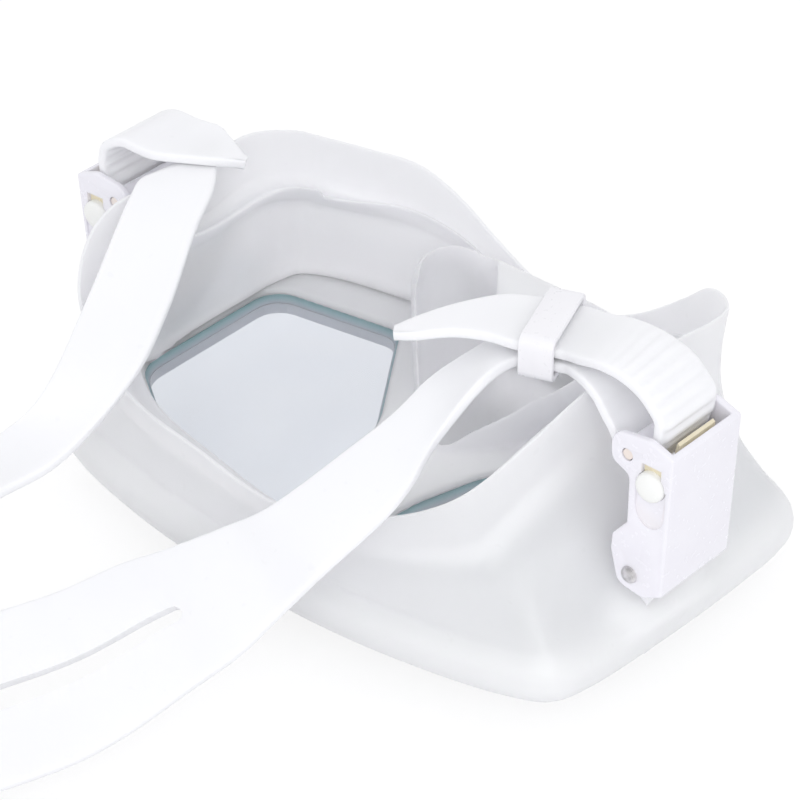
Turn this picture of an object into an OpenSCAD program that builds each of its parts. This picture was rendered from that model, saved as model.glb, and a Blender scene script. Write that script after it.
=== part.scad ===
// Two-lens diving mask with a silicone skirt, a split strap and roller buckles.
// It lies on its front: +Z points to the wearer's face, +X to one temple, -Y to the brow.
// The origin is the middle of the front frame's bridge, on its front face.

/* [Mask body] */
// Width over the rim, temple to temple
rim_w = 160; // [150:1:172]
// Height over the rim, brow to upper lip
rim_h = 112; // [106:1:120]
// Height of the skirt's tallest edge above the front face
skirt_h = 63; // [56:1:70]
// Thickness of the skirt wall at its foot
wall_foot = 2.5; // [2:0.1:3]
// Thickness of the skirt at its sealing edge
wall_edge = 1; // [0.8:0.1:1.4]
// Reach of the inner sealing lip at the temples
lip_reach = 9; // [5:0.5:11]
// Depth of the nose pocket in front of the rim
nose_out = 9; // [4:0.5:12]
// Wall of the nose pocket
nose_wall = 1.8; // [1.4:0.1:2.4]

/* [Lenses] */
// Thickness of each lens
lens_t = 4; // [3:0.1:5]
// Overlap of skirt and frame on a lens edge
lens_grip = 1.6; // [1:0.1:1.8]
// Thickness of the skirt's lip behind the lenses
seat_t = 1.6; // [1.2:0.1:2]
// Thickness of the front frame
frame_t = 3.4; // [2.6:0.1:4]
// Ring of frame round each lens
frame_ring = 5; // [4:0.5:6]

/* [Buckles] */
// Wall of a buckle housing
buckle_wall = 1.8; // [1.4:0.1:2.2]
// Height of the roller above the hinge pin
roller_up = 30.3; // [29:0.1:32]
// Radius of the roller
roller_r = 2.6; // [2.2:0.1:2.8]
// Radius of the roller's axle
axle_r = 1.25; // [1:0.05:1.4]
// Radius of the hinge pin
pin_r = 1.2; // [0.9:0.1:1.5]
// Radius of a release button
button_r = 3.5; // [2.8:0.1:3.8]
// Travel of a release button
button_travel = 1.2; // [0.8:0.1:1.3]
// Outward lean of the left buckle
left_lean = 3; // [0:1:14]

/* [Strap] */
// Width of the strap ends
strap_w = 19; // [17:0.5:20]
// Thickness of the strap
strap_t = 2.4; // [1.8:0.1:2.8]
// Height of a rib
rib_h = 0.6; // [0.4:0.1:0.8]
// Length of the keeper along the strap
keeper_l = 8.4; // [6:0.2:9]
// Wall of the keeper
keeper_wall = 1.4; // [1:0.1:1.8]

/* [Hidden] */

WHITE = [0.96, 0.96, 0.98];
GLOSS = [0.93, 0.93, 0.96];
IVORY = [0.93, 0.91, 0.82];
GLASS = [0.80, 0.88, 0.92, 0.5];
METAL = [0.62, 0.63, 0.65];

fit = 0.05;
sx = rim_w / 160;
sy = rim_h / 112;
sz = skirt_h / 63;

// Half outlines, from the middle of the brow round the temple to the upper lip
RIM = [[0, -54], [25, -53], [48, -49.5], [65, -45], [74.5, -39.5], [77.8, -29], [79.2, -12],
    [80, 6], [80, 21], [78.8, 33], [74.5, 42], [63, 49], [47, 53.5], [32, 56.5], [20, 57.5],
    [10, 58], [0, 58]];
EDGE = [[0, -49, 24], [18, -50, 29], [32, -49, 34.5], [43, -45, 39.5], [52, -39.5, 46.5],
    [58, -28, 55.5], [60, -12, 62], [60.5, 4, 63], [60, 18, 62], [59.5, 28, 60], [57, 36, 57], [50, 43, 52.5],
    [42, 50, 47], [33, 55, 41], [22, 56.5, 34], [11, 57.5, 27], [0, 58, 24]];
// The left temple's edge is spread outwards, as the soft skirt lies
EDGE_LEFT = [[0, -49, 24], [20, -50, 28.5], [38, -50.5, 33], [52, -48, 39], [62, -44, 48],
    [66.5, -36, 57.5], [66, -25, 63.3], [61, -11, 63.3], [60.5, 10, 63.3], [60, 25, 62],
    [57.5, 35, 57.5], [50.5, 43, 52.3], [42, 50, 47], [33, 54.5, 41], [22, 56.5, 34], [11, 57.5, 27],
    [0, 58, 24]];
// Inward dent of the wall and reach of the inner lip, one for each outline point
DENT = [1, 1, 1.5, 3, 4, 4.5, 5, 5, 4, 2, 2, 2, 1, 0, -1, -2, -2];
REACH = [0.3, 0.4, 0.5, 0.7, 0.9, 1, 1, 1, 1, 1, 1, 1, 1, 0.8, 0.4, 0.1, 0.1];
steps = 2;

foot_in = 3.5;
foot_z = 11.5;
plate_z = frame_t + lens_t + seat_t;
// Rounded side of the rim: distance in from the outline, height
RIM_SIDE = [[3, 0], [1.3, 0.5], [0.3, 2], [0, 4.6], [0.5, 7.4], [1.8, 9.6], [foot_in, foot_z]];
WALL_AT = [0.12, 0.28, 0.45, 0.62, 0.78, 0.9, 1];

function unit(v) = v / norm(v);
function mirrored(h) = [for (i = [len(h) - 2 : -1 : 1]) len(h[i]) == 3
    ? [-h[i][0], h[i][1], h[i][2]] : [-h[i][0], h[i][1]]];
function whole(h) = concat(h, mirrored(h));
function whole_row(h) = concat(h, [for (i = [len(h) - 2 : -1 : 1]) h[i]]);
function blend(a, b, c, d, t) = 0.5 * (2 * b + (c - a) * t + (2 * a - 5 * b + 4 * c - d) * t * t
    + (3 * b - a - 3 * c + d) * t * t * t);
function round_trip(p) = let (n = len(p)) [for (i = [0 : n - 1], k = [0 : steps - 1])
    blend(p[(i + n - 1) % n], p[i], p[(i + 1) % n], p[(i + 2) % n], k / steps)];
function open_curve(p, k) = let (n = len(p)) concat([for (i = [0 : n - 2], j = [0 : k - 1])
    blend(p[max(i - 1, 0)], p[i], p[i + 1], p[min(i + 2, n - 1)], j / k)], [p[n - 1]]);

rim_line = round_trip([for (p = whole(RIM)) [p[0] * sx, p[1] * sy]]);
edge_line = round_trip([for (p = concat(EDGE, [for (i = [len(EDGE) - 2 : -1 : 1])
    [-EDGE_LEFT[i][0], EDGE_LEFT[i][1], EDGE_LEFT[i][2]]])) [p[0] * sx, p[1] * sy, p[2] * sz]]);
dent_line = round_trip(whole_row(DENT));
reach_line = round_trip(whole_row(REACH));
stations = len(rim_line);

function inward(line, i) = let (n = len(line), t = line[(i + 1) % n] - line[(i + n - 1) % n])
    unit([-t[1], t[0]]);
rim_in = [for (i = [0 : stations - 1]) inward(rim_line, i)];
function rim_at(i, d, z) = [rim_line[i][0] + rim_in[i][0] * d, rim_line[i][1] + rim_in[i][1] * d, z];
function wall_t(s) = wall_foot + (wall_edge - wall_foot) * s;
function wall_at(i, s, d) = let (a = rim_at(i, foot_in, foot_z), p = a + (edge_line[i] - a) * s,
    q = d + dent_line[i] * sin(180 * s)) [p[0] + rim_in[i][0] * q, p[1] + rim_in[i][1] * q, p[2]];
// Once round the wall: out from the foot, up to the edge, and down past the inner lip
function wall_section(i) = let (r = lip_reach * reach_line[i], w = wall_t(0.5)) concat(
    [for (p = RIM_SIDE) rim_at(i, p[0], p[1])],
    [for (s = WALL_AT) wall_at(i, s, 0)],
    [for (s = [1, 0.9, 0.79]) wall_at(i, s, wall_t(s))],
    [wall_at(i, 0.69, w), wall_at(i, 0.66, w + 0.35 * r), wall_at(i, 0.71, w + r),
     wall_at(i, 0.69, w + r + 0.5), wall_at(i, 0.6, w + 0.5 * r + 0.4), wall_at(i, 0.52, w + 0.1)],
    [for (s = [0.36, 0.2]) wall_at(i, s, wall_t(s))],
    [rim_at(i, foot_in + wall_foot, foot_z), rim_at(i, foot_in + wall_foot, 1.5), rim_at(i, 5, 0)]);

// A closed sweep of sections round a ring
module ring_sweep(rows) {
    n = len(rows);
    m = len(rows[0]);
    polyhedron([for (r = rows) each r], [for (i = [0 : n - 1], j = [0 : m - 1])
        let (a = i * m + j, b = i * m + (j + 1) % m, c = ((i + 1) % n) * m + (j + 1) % m,
             d = ((i + 1) % n) * m + j) each [[a, b, c], [a, c, d]]]);
}

// A sweep of sections along an open path, closed at both ends
module path_sweep(rows) {
    n = len(rows);
    m = len(rows[0]);
    polyhedron([for (r = rows) each r], concat(
        [for (i = [0 : n - 2], j = [0 : m - 1])
            let (a = i * m + j, b = i * m + (j + 1) % m, c = (i + 1) * m + (j + 1) % m,
                 d = (i + 1) * m + j) each [[a, b, c], [a, c, d]]],
        [for (j = [1 : m - 2]) [0, j + 1, j]],
        [for (j = [1 : m - 2]) let (e = (n - 1) * m) [e, e + j, e + j + 1]]));
}

// Corners of a flat outline as x, y, radius, turned into arcs
function arc_corner(a, b, c, k) = let (u = unit([a[0] - b[0], a[1] - b[1]]),
    v = unit([c[0] - b[0], c[1] - b[1]]), half = acos(u * v) / 2, p = [b[0], b[1]],
    m = p + unit(u + v) * b[2] / sin(half), p0 = p + u * b[2] / tan(half),
    p1 = p + v * b[2] / tan(half), a0 = atan2(p0[1] - m[1], p0[0] - m[0]),
    a1 = atan2(p1[1] - m[1], p1[0] - m[0]), turn = a1 - a0,
    sweep = turn > 180 ? turn - 360 : turn < -180 ? turn + 360 : turn)
    [for (i = [0 : k]) m + b[2] * [cos(a0 + sweep * i / k), sin(a0 + sweep * i / k)]];
function rounded(c, k = 5) = let (n = len(c))
    [for (i = [0 : n - 1]) each arc_corner(c[(i + n - 1) % n], c[i], c[(i + 1) % n], k)];
function grown(p, d) = [for (i = [0 : len(p) - 1]) p[i] - inward(p, i) * d];

LENS = [[73.5, 31.5, 7], [38.5, 37.5, 5], [17, 6, 30], [12, -12, 30], [10.5, -39, 8],
    [45, -32.5, 14], [73.5, -13, 9]];
lens_line = rounded([for (c = LENS) [c[0] * sx, c[1] * sy, c[2]]]);

module lens_shape(d, z0, z1) {
    translate([0, 0, z0]) linear_extrude(z1 - z0) polygon(grown(lens_line, d));
}
module both_sides() {
    children();
    mirror([1, 0, 0]) children();
}
module rim_shape(d) {
    polygon([for (i = [0 : stations - 1]) let (p = rim_at(i, d, 0)) [p[0], p[1]]]);
}

// Nose pocket: a rounded hollow between the lenses, with a finger well at each side
bridge_r = 8;
BALLS = [[0, 13, 7, bridge_r], [7.5, 42, 12.5 - nose_out, 12.5], [18, 41, 28, 12]];
WELLS = [[9.6, 43.4, 13.4 - nose_out, 11.6], [15.6, 44.4, 15, 12]];
module balls(list, side, d) {
    for (b = list) translate([b[0] * side, b[1] * sy, b[2]]) sphere(b[3] - d, $fn = 28);
}
module nose_form(d) {
    hull() {
        balls(BALLS, 1, d);
        balls(BALLS, -1, d);
    }
    for (side = [-1, 1]) hull() balls(WELLS, side, d);
}
module nose_plan(g) {
    hull() for (side = [-1, 1], b = BALLS) translate([b[0] * side, b[1] * sy]) circle(b[3] + g, $fn = 48);
    for (side = [-1, 1]) hull() for (b = WELLS) translate([b[0] * side, b[1] * sy])
        circle(b[3] + g, $fn = 48);
}
module nose_mouth() {
    for (x = [-1, 1]) hull() {
        translate([0, 13 * sy, 8]) sphere(bridge_r - nose_wall, $fn = 20);
        translate([0, 4 * sy, 42]) sphere(bridge_r - nose_wall, $fn = 20);
        translate([18 * x, 41 * sy, 28]) sphere(12 - nose_wall, $fn = 24);
        translate([15 * x, 38 * sy, 58]) sphere(9, $fn = 20);
    }
}

// Buckle hinge: pin axis along Y at this place on the right, low enough for the roller
buckle_y = -6 * sy;
pin_x = rim_w / 2 - 3.3;
loop_top = 7.3;
pin_z = 61.9 * sz - roller_up - loop_top;
gap_half = strap_w / 2 + 0.45;
buckle_half = gap_half + buckle_wall;
lug_r = 3.3;
lug_half = gap_half - 0.2;
arm_t = 2.2;
arm_x = pin_x - 0.7;
arm_half = 7;

module frame_arm_slot(g) {
    translate([arm_x - g, buckle_y - arm_half - g, -1]) cube([arm_t + 2 * g, 2 * (arm_half + g), 18]);
    translate([arm_x - 4, buckle_y - arm_half - g, -1]) cube([4, 2 * (arm_half + g), frame_t + 1]);
}
// Boss of the skirt round each frame arm, under the foot of the buckle
module arm_boss() {
    hull() {
        translate([72.5 * sx, buckle_y - 12, 6]) cube([6.6 * sx, 24, 1]);
        translate([arm_x - 2, buckle_y - 9, 15.2]) cube([arm_t + 3.6, 18, 1]);
    }
}
frame_in = 4;
module frame_shape(g) {
    intersection() {
        rim_shape(frame_in - g);
        union() {
            both_sides() polygon(grown(lens_line, lens_grip + frame_ring + g));
            translate([-16, -40 * sy]) square([32, 48 * sy]);
        }
    }
}

module skirt() {
    color(WHITE) difference() {
        union() {
            ring_sweep([for (i = [0 : stations - 1]) wall_section(i)]);
            translate([0, 0, 0.4]) linear_extrude(plate_z - 0.4) rim_shape(4.5);
            nose_form(0);
            both_sides() arm_boss();
        }
        nose_form(nose_wall);
        nose_mouth();
        both_sides() {
            lens_shape(lens_grip + fit, 0.01, frame_t + lens_t + 0.01);
            lens_shape(0, -1, foot_z);
            frame_arm_slot(fit);
        }
        translate([0, 0, -1]) linear_extrude(frame_t + 1) difference() {
            frame_shape(fit);
            nose_plan(0);
        }
    }
}

// The bridge pad stands a little in front of the rest of the frame
pad_step = 0.5;
pad_half = [8, 4.4];
module front_frame() {
    color(GLOSS) difference() {
        union() {
            translate([0, 0, pad_step]) linear_extrude(frame_t - pad_step) difference() {
                frame_shape(0);
                nose_plan(fit);
            }
            translate([-pad_half[0], -pad_half[1], 0]) cube([2 * pad_half[0], 2 * pad_half[1], 1]);
            both_sides() {
                translate([arm_x - 4, buckle_y - arm_half, pad_step])
                    cube([4 + arm_t, 2 * arm_half, frame_t - pad_step - fit]);
                translate([arm_x, buckle_y - arm_half, pad_step])
                    cube([arm_t, 2 * arm_half, pin_z - pad_step]);
                translate([pin_x, buckle_y + lug_half, pin_z]) rotate([90, 0, 0])
                    cylinder(r = lug_r, h = 2 * lug_half, $fn = 48);
            }
        }
        both_sides() {
            lens_shape(0, -1, frame_t + 1);
            translate([pin_x, buckle_y + lug_half + 1, pin_z]) rotate([90, 0, 0])
                cylinder(r = pin_r + fit, h = 2 * lug_half + 2, $fn = 48);
        }
    }
}

module lens() {
    color(GLASS) lens_shape(lens_grip, frame_t, frame_t + lens_t);
}
module lens_right() {
    lens();
}
module lens_left() {
    mirror([1, 0, 0]) lens();
}

// Buckle parts are drawn for the right side, from the hinge pin: x outwards, z up the buckle
module on_right() {
    translate([pin_x, buckle_y, pin_z]) children();
}
module on_left() {
    mirror([1, 0, 0]) translate([pin_x, buckle_y, pin_z]) rotate([0, left_lean, 0]) children();
}
module across(h) {
    translate([0, h / 2, 0]) rotate([90, 0, 0]) linear_extrude(h) children();
}

roller_x = -2;
button_x = 4.4;
button_z = roller_up - 5.2;
plate_foot = -2.2;
plate_top = roller_up + 3.7;
plate_in = 7;
plate_t = 1.5;
plate_lean = 1.4;
pawl_x = 6.1;
pawl_z = 16.5;
trunnion_r = 1.1;
SIDE = [[-3.4, -3.6, 3], [3.4, -4.8, 3], [plate_in + plate_t, plate_foot, 1],
    [plate_in + plate_t + plate_lean, plate_top, 0.8], [3.6, plate_top + 2.2, 3],
    [-6.4, roller_up + 4.6, 4], [-6.4, roller_up - 2.8, 3], [-1.4, roller_up - 5, 2],
    [-1.5, 13, 1.5], [-5.2, 8.4, 1], [-5.5, 4.4, 2]];

module rod(x, z, r, h) {
    translate([x, h / 2, z]) rotate([90, 0, 0]) cylinder(r = r, h = h, $fn = 48);
}
module buckle_housing() {
    color(GLOSS) difference() {
        union() {
            for (s = [-1, 1]) translate([0, s * (gap_half + buckle_wall / 2), 0])
                across(buckle_wall) polygon(rounded(SIDE, 4));
            across(2 * buckle_half - 1) polygon([[plate_in, plate_foot], [plate_in + plate_t, plate_foot],
                [plate_in + plate_t + plate_lean, plate_top], [plate_in + plate_lean, plate_top]]);
        }
        rod(0, 0, pin_r + 0.02, 2 * buckle_half + 1);
        rod(roller_x, roller_up, axle_r + 0.02, 2 * buckle_half + 1);
        rod(button_x, button_z, button_r + 0.08, 2 * buckle_half + 1);
        rod(pawl_x, pawl_z, trunnion_r + fit, 2 * gap_half + 2.2);
        for (s = [-1, 1]) {
            translate([button_x - 2.4, s * (buckle_half - 0.25) - 0.5, button_z]) cube([4.8, 1, 5.4]);
            translate([button_x - 3.7, s * (buckle_half + 0.5) - 1, button_z - 11]) cube([7.4, 2, 11]);
        }
    }
}
module hinge_pin() {
    color(METAL) {
        rod(0, 0, pin_r, 2 * buckle_half);
        for (s = [-1, 1]) translate([0, s * buckle_half, 0]) rotate([-90 * s, 0, 0])
            rotate_extrude($fn = 40) polygon([[0, 0], [2.1, 0], [1.9, 0.5], [1.2, 0.85], [0, 1]]);
    }
}
module roller_axle() {
    color(IVORY) rod(roller_x, roller_up, axle_r, 2 * buckle_half - 0.6);
}
module roller() {
    color(GLOSS) difference() {
        rod(roller_x, roller_up, roller_r, 2 * gap_half - 0.4);
        rod(roller_x, roller_up, axle_r + fit, 2 * gap_half + 1);
    }
}
pawl_half = 6;
module release_pawl() {
    color(IVORY) {
        across(2 * pawl_half) polygon([[pawl_x - 1, pawl_z - 1], [pawl_x + 0.8, pawl_z - 1],
            [pawl_x + 1.1, roller_up + 3.4], [pawl_x + 0.5, roller_up + 3.9],
            [pawl_x + 0.2, roller_up + 3], [pawl_x - 0.2, roller_up + 0.6],
            [pawl_x - 1, roller_up - 2]]);
        rod(pawl_x, pawl_z, trunnion_r, 2 * gap_half + 2);
    }
}
button_in = gap_half + 1.05;
button_out = buckle_half + button_travel + 0.2;
stem_end = pawl_half + button_travel + 0.4;
module button(s) {
    color(IVORY) {
        translate([button_x, s * button_in, button_z]) rotate([-90 * s, 0, 0])
            cylinder(r = button_r, h = button_out - button_in - 0.5, $fn = 48);
        translate([button_x, s * (button_out - 0.5), button_z]) rotate([-90 * s, 0, 0])
            cylinder(r1 = button_r, r2 = button_r - 0.6, h = 0.5, $fn = 48);
        translate([button_x + 1.7, s * stem_end, button_z]) rotate([-90 * s, 0, 0])
            cylinder(r = 1.5, h = button_in - stem_end + 0.2, $fn = 32);
    }
}

// Strap loop: round the roller and out of the slot, with the ribs outwards
loop_gap = 0.3;
loop_r = roller_r + loop_gap + strap_t / 2;
loop_path = concat([[-9.8, roller_up + 4.1], [-8.2, roller_up + 2.2], [-6.9, roller_up]],
    [for (a = [200 : 16 : 360]) [roller_x + loop_r * cos(a), roller_up + loop_r * sin(a)]],
    [[2.6, roller_up + 2.1], [3.5, roller_up + 4.3], [3.7, roller_up + loop_top - 0.5]]);
function side_of(p, i, d) = let (n = len(p), t = unit(p[min(i + 1, n - 1)] - p[max(i - 1, 0)]))
    [p[i][0] + t[1] * d, p[i][1] - t[0] * d];
module strap_loop() {
    n = len(loop_path);
    color(WHITE) across(strap_w) polygon(concat(
        [for (i = [0 : n - 1]) side_of(loop_path, i, strap_t / 2 + (i % 2 == 1 && i > 2 ? rib_h : 0))],
        [for (i = [n - 1 : -1 : 0]) side_of(loop_path, i, -strap_t / 2)]));
}

// Strap routes: brow-side edge and cheek-side edge at each station, for a 19 mm strap
TAIL_RUN = [[[79, -15.5, 65.6], [78.6, 3.5, 65.6]],
    [[75.4, -15.5, 68.8], [74.4, 3.5, 68.9]], [[70.2, -15.4, 70.6], [67.8, 3.5, 70.6]],
    [[64, -15, 70.5], [60, 3.8, 70.3]], [[58, -13.8, 68.4], [52.4, 4.4, 68.2]],
    [[53.4, -12.6, 66.9], [46.8, 5.2, 66.8]]];
TAIL_END = [[[53.2, -12.6, 66.9], [46.6, 5.1, 66.8]], [[47.5, -14.2, 66.7], [40.6, 3.5, 66.6]],
    [[42.4, -16.2, 66.6], [35.5, 1.5, 66.5]], [[36, -17.6, 66.6], [28.6, -2.6, 66.4]],
    [[29.5, -21, 66.4], [23.4, -11.6, 66.4]], [[23, -26, 65.2], [19, -20.4, 65.4]],
    [[19, -28, 64.6], [17.4, -25.6, 64.8]]];
ARM_RUN = [[[64, -15.5, 62.6], [64, 3.5, 62.6]], [[60.8, -15.2, 64.4], [60, 3.7, 64.8]],
    [[57, -14, 64.4], [53.6, 4.4, 64.5]], [[53.4, -12.6, 63.5], [46.8, 5.2, 63.5]]];
ARM = [[[53.2, -12.6, 63.4], [46.6, 5.1, 63.4]], [[47.5, -14.2, 63.1], [40.6, 3.5, 63.1]],
    [[43, -16.6, 62.8], [35.6, 0.6, 62.8]], [[41.5, -26, 61], [31.5, -10.5, 60]],
    [[38.5, -36, 51], [26.7, -23.8, 55.5]], [[40, -46, 45.5], [25.3, -34.8, 51]],
    [[39.5, -54.5, 41], [22.5, -45.5, 46.5]], [[35, -66.2, 32.8], [14.2, -59.8, 36]],
    [[27.4, -72, 21], [3.4, -64.2, 27]]];
BACK = [[[22.5, -81.2, 12], [-6.8, -71.1, 20]], [[16.2, -90.3, 4.4], [-15.8, -78.7, 15]],
    [[12.6, -108.1, 0], [-19.8, -93, 14]], [[8.5, -124.5, -1], [-24.4, -106.3, 14]],
    [[0, -148, 1], [-36, -128, 11]], [[-20, -174, 4], [-54, -149, 8]],
    [[-37, -190, 11], [-70, -164, 12]], [[-45, -195, 22], [-79, -170, 22]],
    [[-42, -178, 33], [-80, -160, 32]], [[-37, -150, 35], [-76, -143, 34]],
    [[-36, -127, 34], [-72, -123, 33]]];
ARM_LEFT = [[[-38, -106, 31], [-66, -104, 30]],
    [[-39, -91, 29.5], [-59, -90, 27]], [[-35, -75.5, 33], [-54.5, -78, 30]],
    [[-33.6, -55, 43.5], [-47.6, -69, 41]], [[-39, -37.5, 52], [-54, -49.5, 51]],
    [[-45.7, -21.9, 61.5], [-59.2, -33.9, 61.4]], [[-50.3, -11.4, 65], [-62.6, -25.4, 65.2]]];
ARM_RUN_LEFT = [[[-50.5, -11.2, 65], [-62.8, -25.1, 65.2]], [[-56, -4, 66], [-64.4, -20.8, 66.1]],
    [[-61.4, 2.2, 65.6], [-64.2, -16.6, 65.6]]];
// The left tail is drawn from its buckle's pin, as the buckle's own parts are
TAIL_LEFT = [[[3.7, -9.5, 37.6], [3.7, 9.5, 37.6]], [[3.7, -9.5, 38.6], [3.7, 9.5, 38.6]],
    [[2.2, -9.5, 42.4], [2, 9.5, 42.4]], [[-2.8, -9.4, 45.2], [-3.2, 9.6, 45]],
    [[-8.2, -9.2, 45], [-9, 9.8, 44.8]], [[-12.6, -8.4, 44.5], [-12.6, 10.4, 44.5]],
    [[-17.6, -5, 43.9], [-15.4, 11.4, 43.9]], [[-24.4, 0.2, 43], [-21, 9.6, 42.8]],
    [[-28.6, 5.2, 41.6], [-27.4, 7.2, 41.6]]];

route_w = 19;
function widened(m, e) = let (h = (e[1] - e[0]) / 2 * strap_w / route_w) [m - h, m + h];
function placed(r) = [for (e = r) let (m = (e[0] + e[1]) / 2)
    widened([m[0] * sx, m[1] * sy, m[2] * sz], e)];
function at_buckle(r) = [for (e = r) let (m = (e[0] + e[1]) / 2)
    widened(m + [0, 0, roller_up - 30.3], e)];
// Brow-side and cheek-side edges of the strap at a point of a buckle, 1 right and -1 left
function buckle_row(side, x, z) = let (a = side > 0 ? 0 : left_lean, c = cos(a), v = sin(a),
    p = [side * (pin_x + x * c + z * v), buckle_y, pin_z - x * v + z * c], h = [0, strap_w / 2, 0])
    [p - h, p + h];
// Two stations in line with the loop's inner end, a little clear of it
function arm_entry(side) = [for (k = [0.7, 3]) buckle_row(side, loop_path[0][0] - 0.59 * (k - 0.3),
    loop_path[0][1] + 0.81 * (k - 0.3))];
function tail_entry(side) = [for (k = [0, 1.6]) buckle_row(side, 3.7, roller_up + loop_top + k)];
function turned(r) = [for (i = [len(r) - 1 : -1 : 0]) [r[i][1], r[i][0]]];

// Section of the strap at one station, with eased edges and its outer face raised by a rib
function strap_section(e, t, half, rib) = let (w = unit(e[1] - e[0]), n = unit(cross(t, w)),
    q = half * 0.5, up = half + rib) [e[0] + n * q, e[0] + w * q + n * half, e[1] - w * q + n * half,
    e[1] + n * q, e[1] - n * q, e[1] - w * q - n * up, e[0] + w * q - n * up, e[0] - n * q];
function strap_rows(r, half, rib) = let (m = [for (e = r) (e[0] + e[1]) / 2], n = len(r))
    [for (i = [0 : n - 1]) strap_section(r[i], m[min(i + 1, n - 1)] - m[max(i - 1, 0)], half,
        i % 2 == 1 ? rib : 0)];
function finer(r, k) = let (a = open_curve([for (e = r) e[0]], k), b = open_curve([for (e = r) e[1]], k))
    [for (i = [0 : len(a) - 1]) [a[i], b[i]]];

module strap_sweep(r, k, rib = 0) {
    path_sweep(strap_rows(finer(r, k), strap_t / 2, rib));
}
// The slot between the two bands, widest at the middle, with rounded ends
slot_share = 0.055;
slot_from = 2;
module slot_cutter(r) {
    rows = finer(r, 4);
    n = len(rows) - 1;
    path_sweep([for (i = [slot_from : n]) let (e = rows[i], d = e[1] - e[0], w = unit(d),
        m = [for (k = [max(i - 1, 0), min(i + 1, n)]) (rows[k][0] + rows[k][1]) / 2],
        h = unit(cross(m[1] - m[0], w)) * strap_t,
        g = slot_share * (1 + 0.4 * sin(180 * i / n))
            * sqrt(min(1, 0.1 + min(i - slot_from, n - i) / 2)),
        a = e[0] + d * (0.5 - g), b = e[0] + d * (0.5 + g))
        [a + h, b + h, b - h, a - h]]);
}
module strap_back() {
    color(WHITE) {
        strap_sweep(placed(TAIL_END), 4, rib_h);
        difference() {
            strap_sweep(placed(concat(ARM, BACK, ARM_LEFT)), 4);
            slot_cutter(placed(BACK));
        }
    }
}
module strap_run_right() {
    color(WHITE) {
        strap_sweep(concat(tail_entry(1), placed(TAIL_RUN)), 6, rib_h);
        strap_sweep(concat(arm_entry(1), placed(ARM_RUN)), 4);
    }
}
module strap_run_left() {
    color(WHITE) strap_sweep(concat(placed(ARM_RUN_LEFT), turned(arm_entry(-1))), 4);
}
module strap_tail_left() on_left() color(WHITE) strap_sweep(at_buckle(TAIL_LEFT), 6, rib_h);

keeper_mid = [44, -5.4, 65];
keeper_turn = 21;
keeper_room = strap_t / 2 + 2 * sz + 0.7;
module strap_keeper() {
    w = strap_w + 1;
    color(GLOSS) translate([keeper_mid[0] * sx, keeper_mid[1] * sy, keeper_mid[2] * sz])
        rotate([0, 0, keeper_turn]) difference() {
        cube([keeper_l, w + 2 * keeper_wall, 2 * keeper_room + 2 * keeper_wall], center = true);
        cube([keeper_l + 1, w, 2 * keeper_room], center = true);
    }
}

module buckle_housing_right() on_right() buckle_housing();
module hinge_pin_right() on_right() hinge_pin();
module roller_axle_right() on_right() roller_axle();
module roller_right() on_right() roller();
module release_pawl_right() on_right() release_pawl();
module button_brow_right() on_right() button(-1);
module button_cheek_right() on_right() button(1);
module strap_loop_right() on_right() strap_loop();
module buckle_housing_left() on_left() buckle_housing();
module hinge_pin_left() on_left() hinge_pin();
module roller_axle_left() on_left() roller_axle();
module roller_left() on_left() roller();
module release_pawl_left() on_left() release_pawl();
module button_brow_left() on_left() button(-1);
module button_cheek_left() on_left() button(1);
module strap_loop_left() on_left() strap_loop();

skirt();
front_frame();
lens_right();
lens_left();
buckle_housing_right();
hinge_pin_right();
roller_axle_right();
roller_right();
release_pawl_right();
button_brow_right();
button_cheek_right();
buckle_housing_left();
hinge_pin_left();
roller_axle_left();
roller_left();
release_pawl_left();
button_brow_left();
button_cheek_left();
strap_back();
strap_run_right();
strap_run_left();
strap_loop_right();
strap_loop_left();
strap_tail_left();
strap_keeper();
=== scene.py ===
"""Looks for the two-lens diving mask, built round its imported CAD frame."""
import math

import bmesh
import bpy
import numpy as np
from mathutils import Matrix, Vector


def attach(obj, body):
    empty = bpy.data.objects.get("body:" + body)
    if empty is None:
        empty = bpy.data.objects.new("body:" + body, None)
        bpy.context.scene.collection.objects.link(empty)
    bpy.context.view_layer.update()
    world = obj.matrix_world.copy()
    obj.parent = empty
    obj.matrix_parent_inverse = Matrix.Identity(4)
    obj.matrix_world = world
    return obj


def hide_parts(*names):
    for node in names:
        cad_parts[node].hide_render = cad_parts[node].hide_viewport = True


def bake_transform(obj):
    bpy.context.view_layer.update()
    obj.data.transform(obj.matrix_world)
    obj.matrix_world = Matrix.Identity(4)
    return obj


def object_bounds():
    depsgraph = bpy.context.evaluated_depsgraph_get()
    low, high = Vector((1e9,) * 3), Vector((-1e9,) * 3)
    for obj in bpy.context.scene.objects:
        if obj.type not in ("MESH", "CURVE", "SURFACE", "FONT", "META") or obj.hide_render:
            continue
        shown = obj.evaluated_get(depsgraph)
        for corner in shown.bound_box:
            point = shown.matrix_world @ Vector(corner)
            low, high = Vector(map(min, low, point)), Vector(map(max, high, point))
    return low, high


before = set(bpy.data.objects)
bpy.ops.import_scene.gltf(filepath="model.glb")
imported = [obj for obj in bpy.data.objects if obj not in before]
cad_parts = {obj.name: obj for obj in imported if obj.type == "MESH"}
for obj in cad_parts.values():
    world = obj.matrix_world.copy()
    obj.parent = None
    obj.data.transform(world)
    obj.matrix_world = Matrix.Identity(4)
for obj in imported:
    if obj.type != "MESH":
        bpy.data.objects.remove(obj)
CAD_BOX = [[float(v) for v in corner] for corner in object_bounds()]
MM = 0.001

# Sizes from the part's source, in millimetres: how thick the front frame, a lens and the skirt over
# it are, how far a lens is gripped, and how far the skirt's window stands off the lens opening
FRAME_T, LENS_T, SEAT_T, LENS_GRIP, WINDOW = 3.4, 4.0, 1.6, 1.6, 0.9

# ---------------------------------------------------------------- materials


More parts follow.
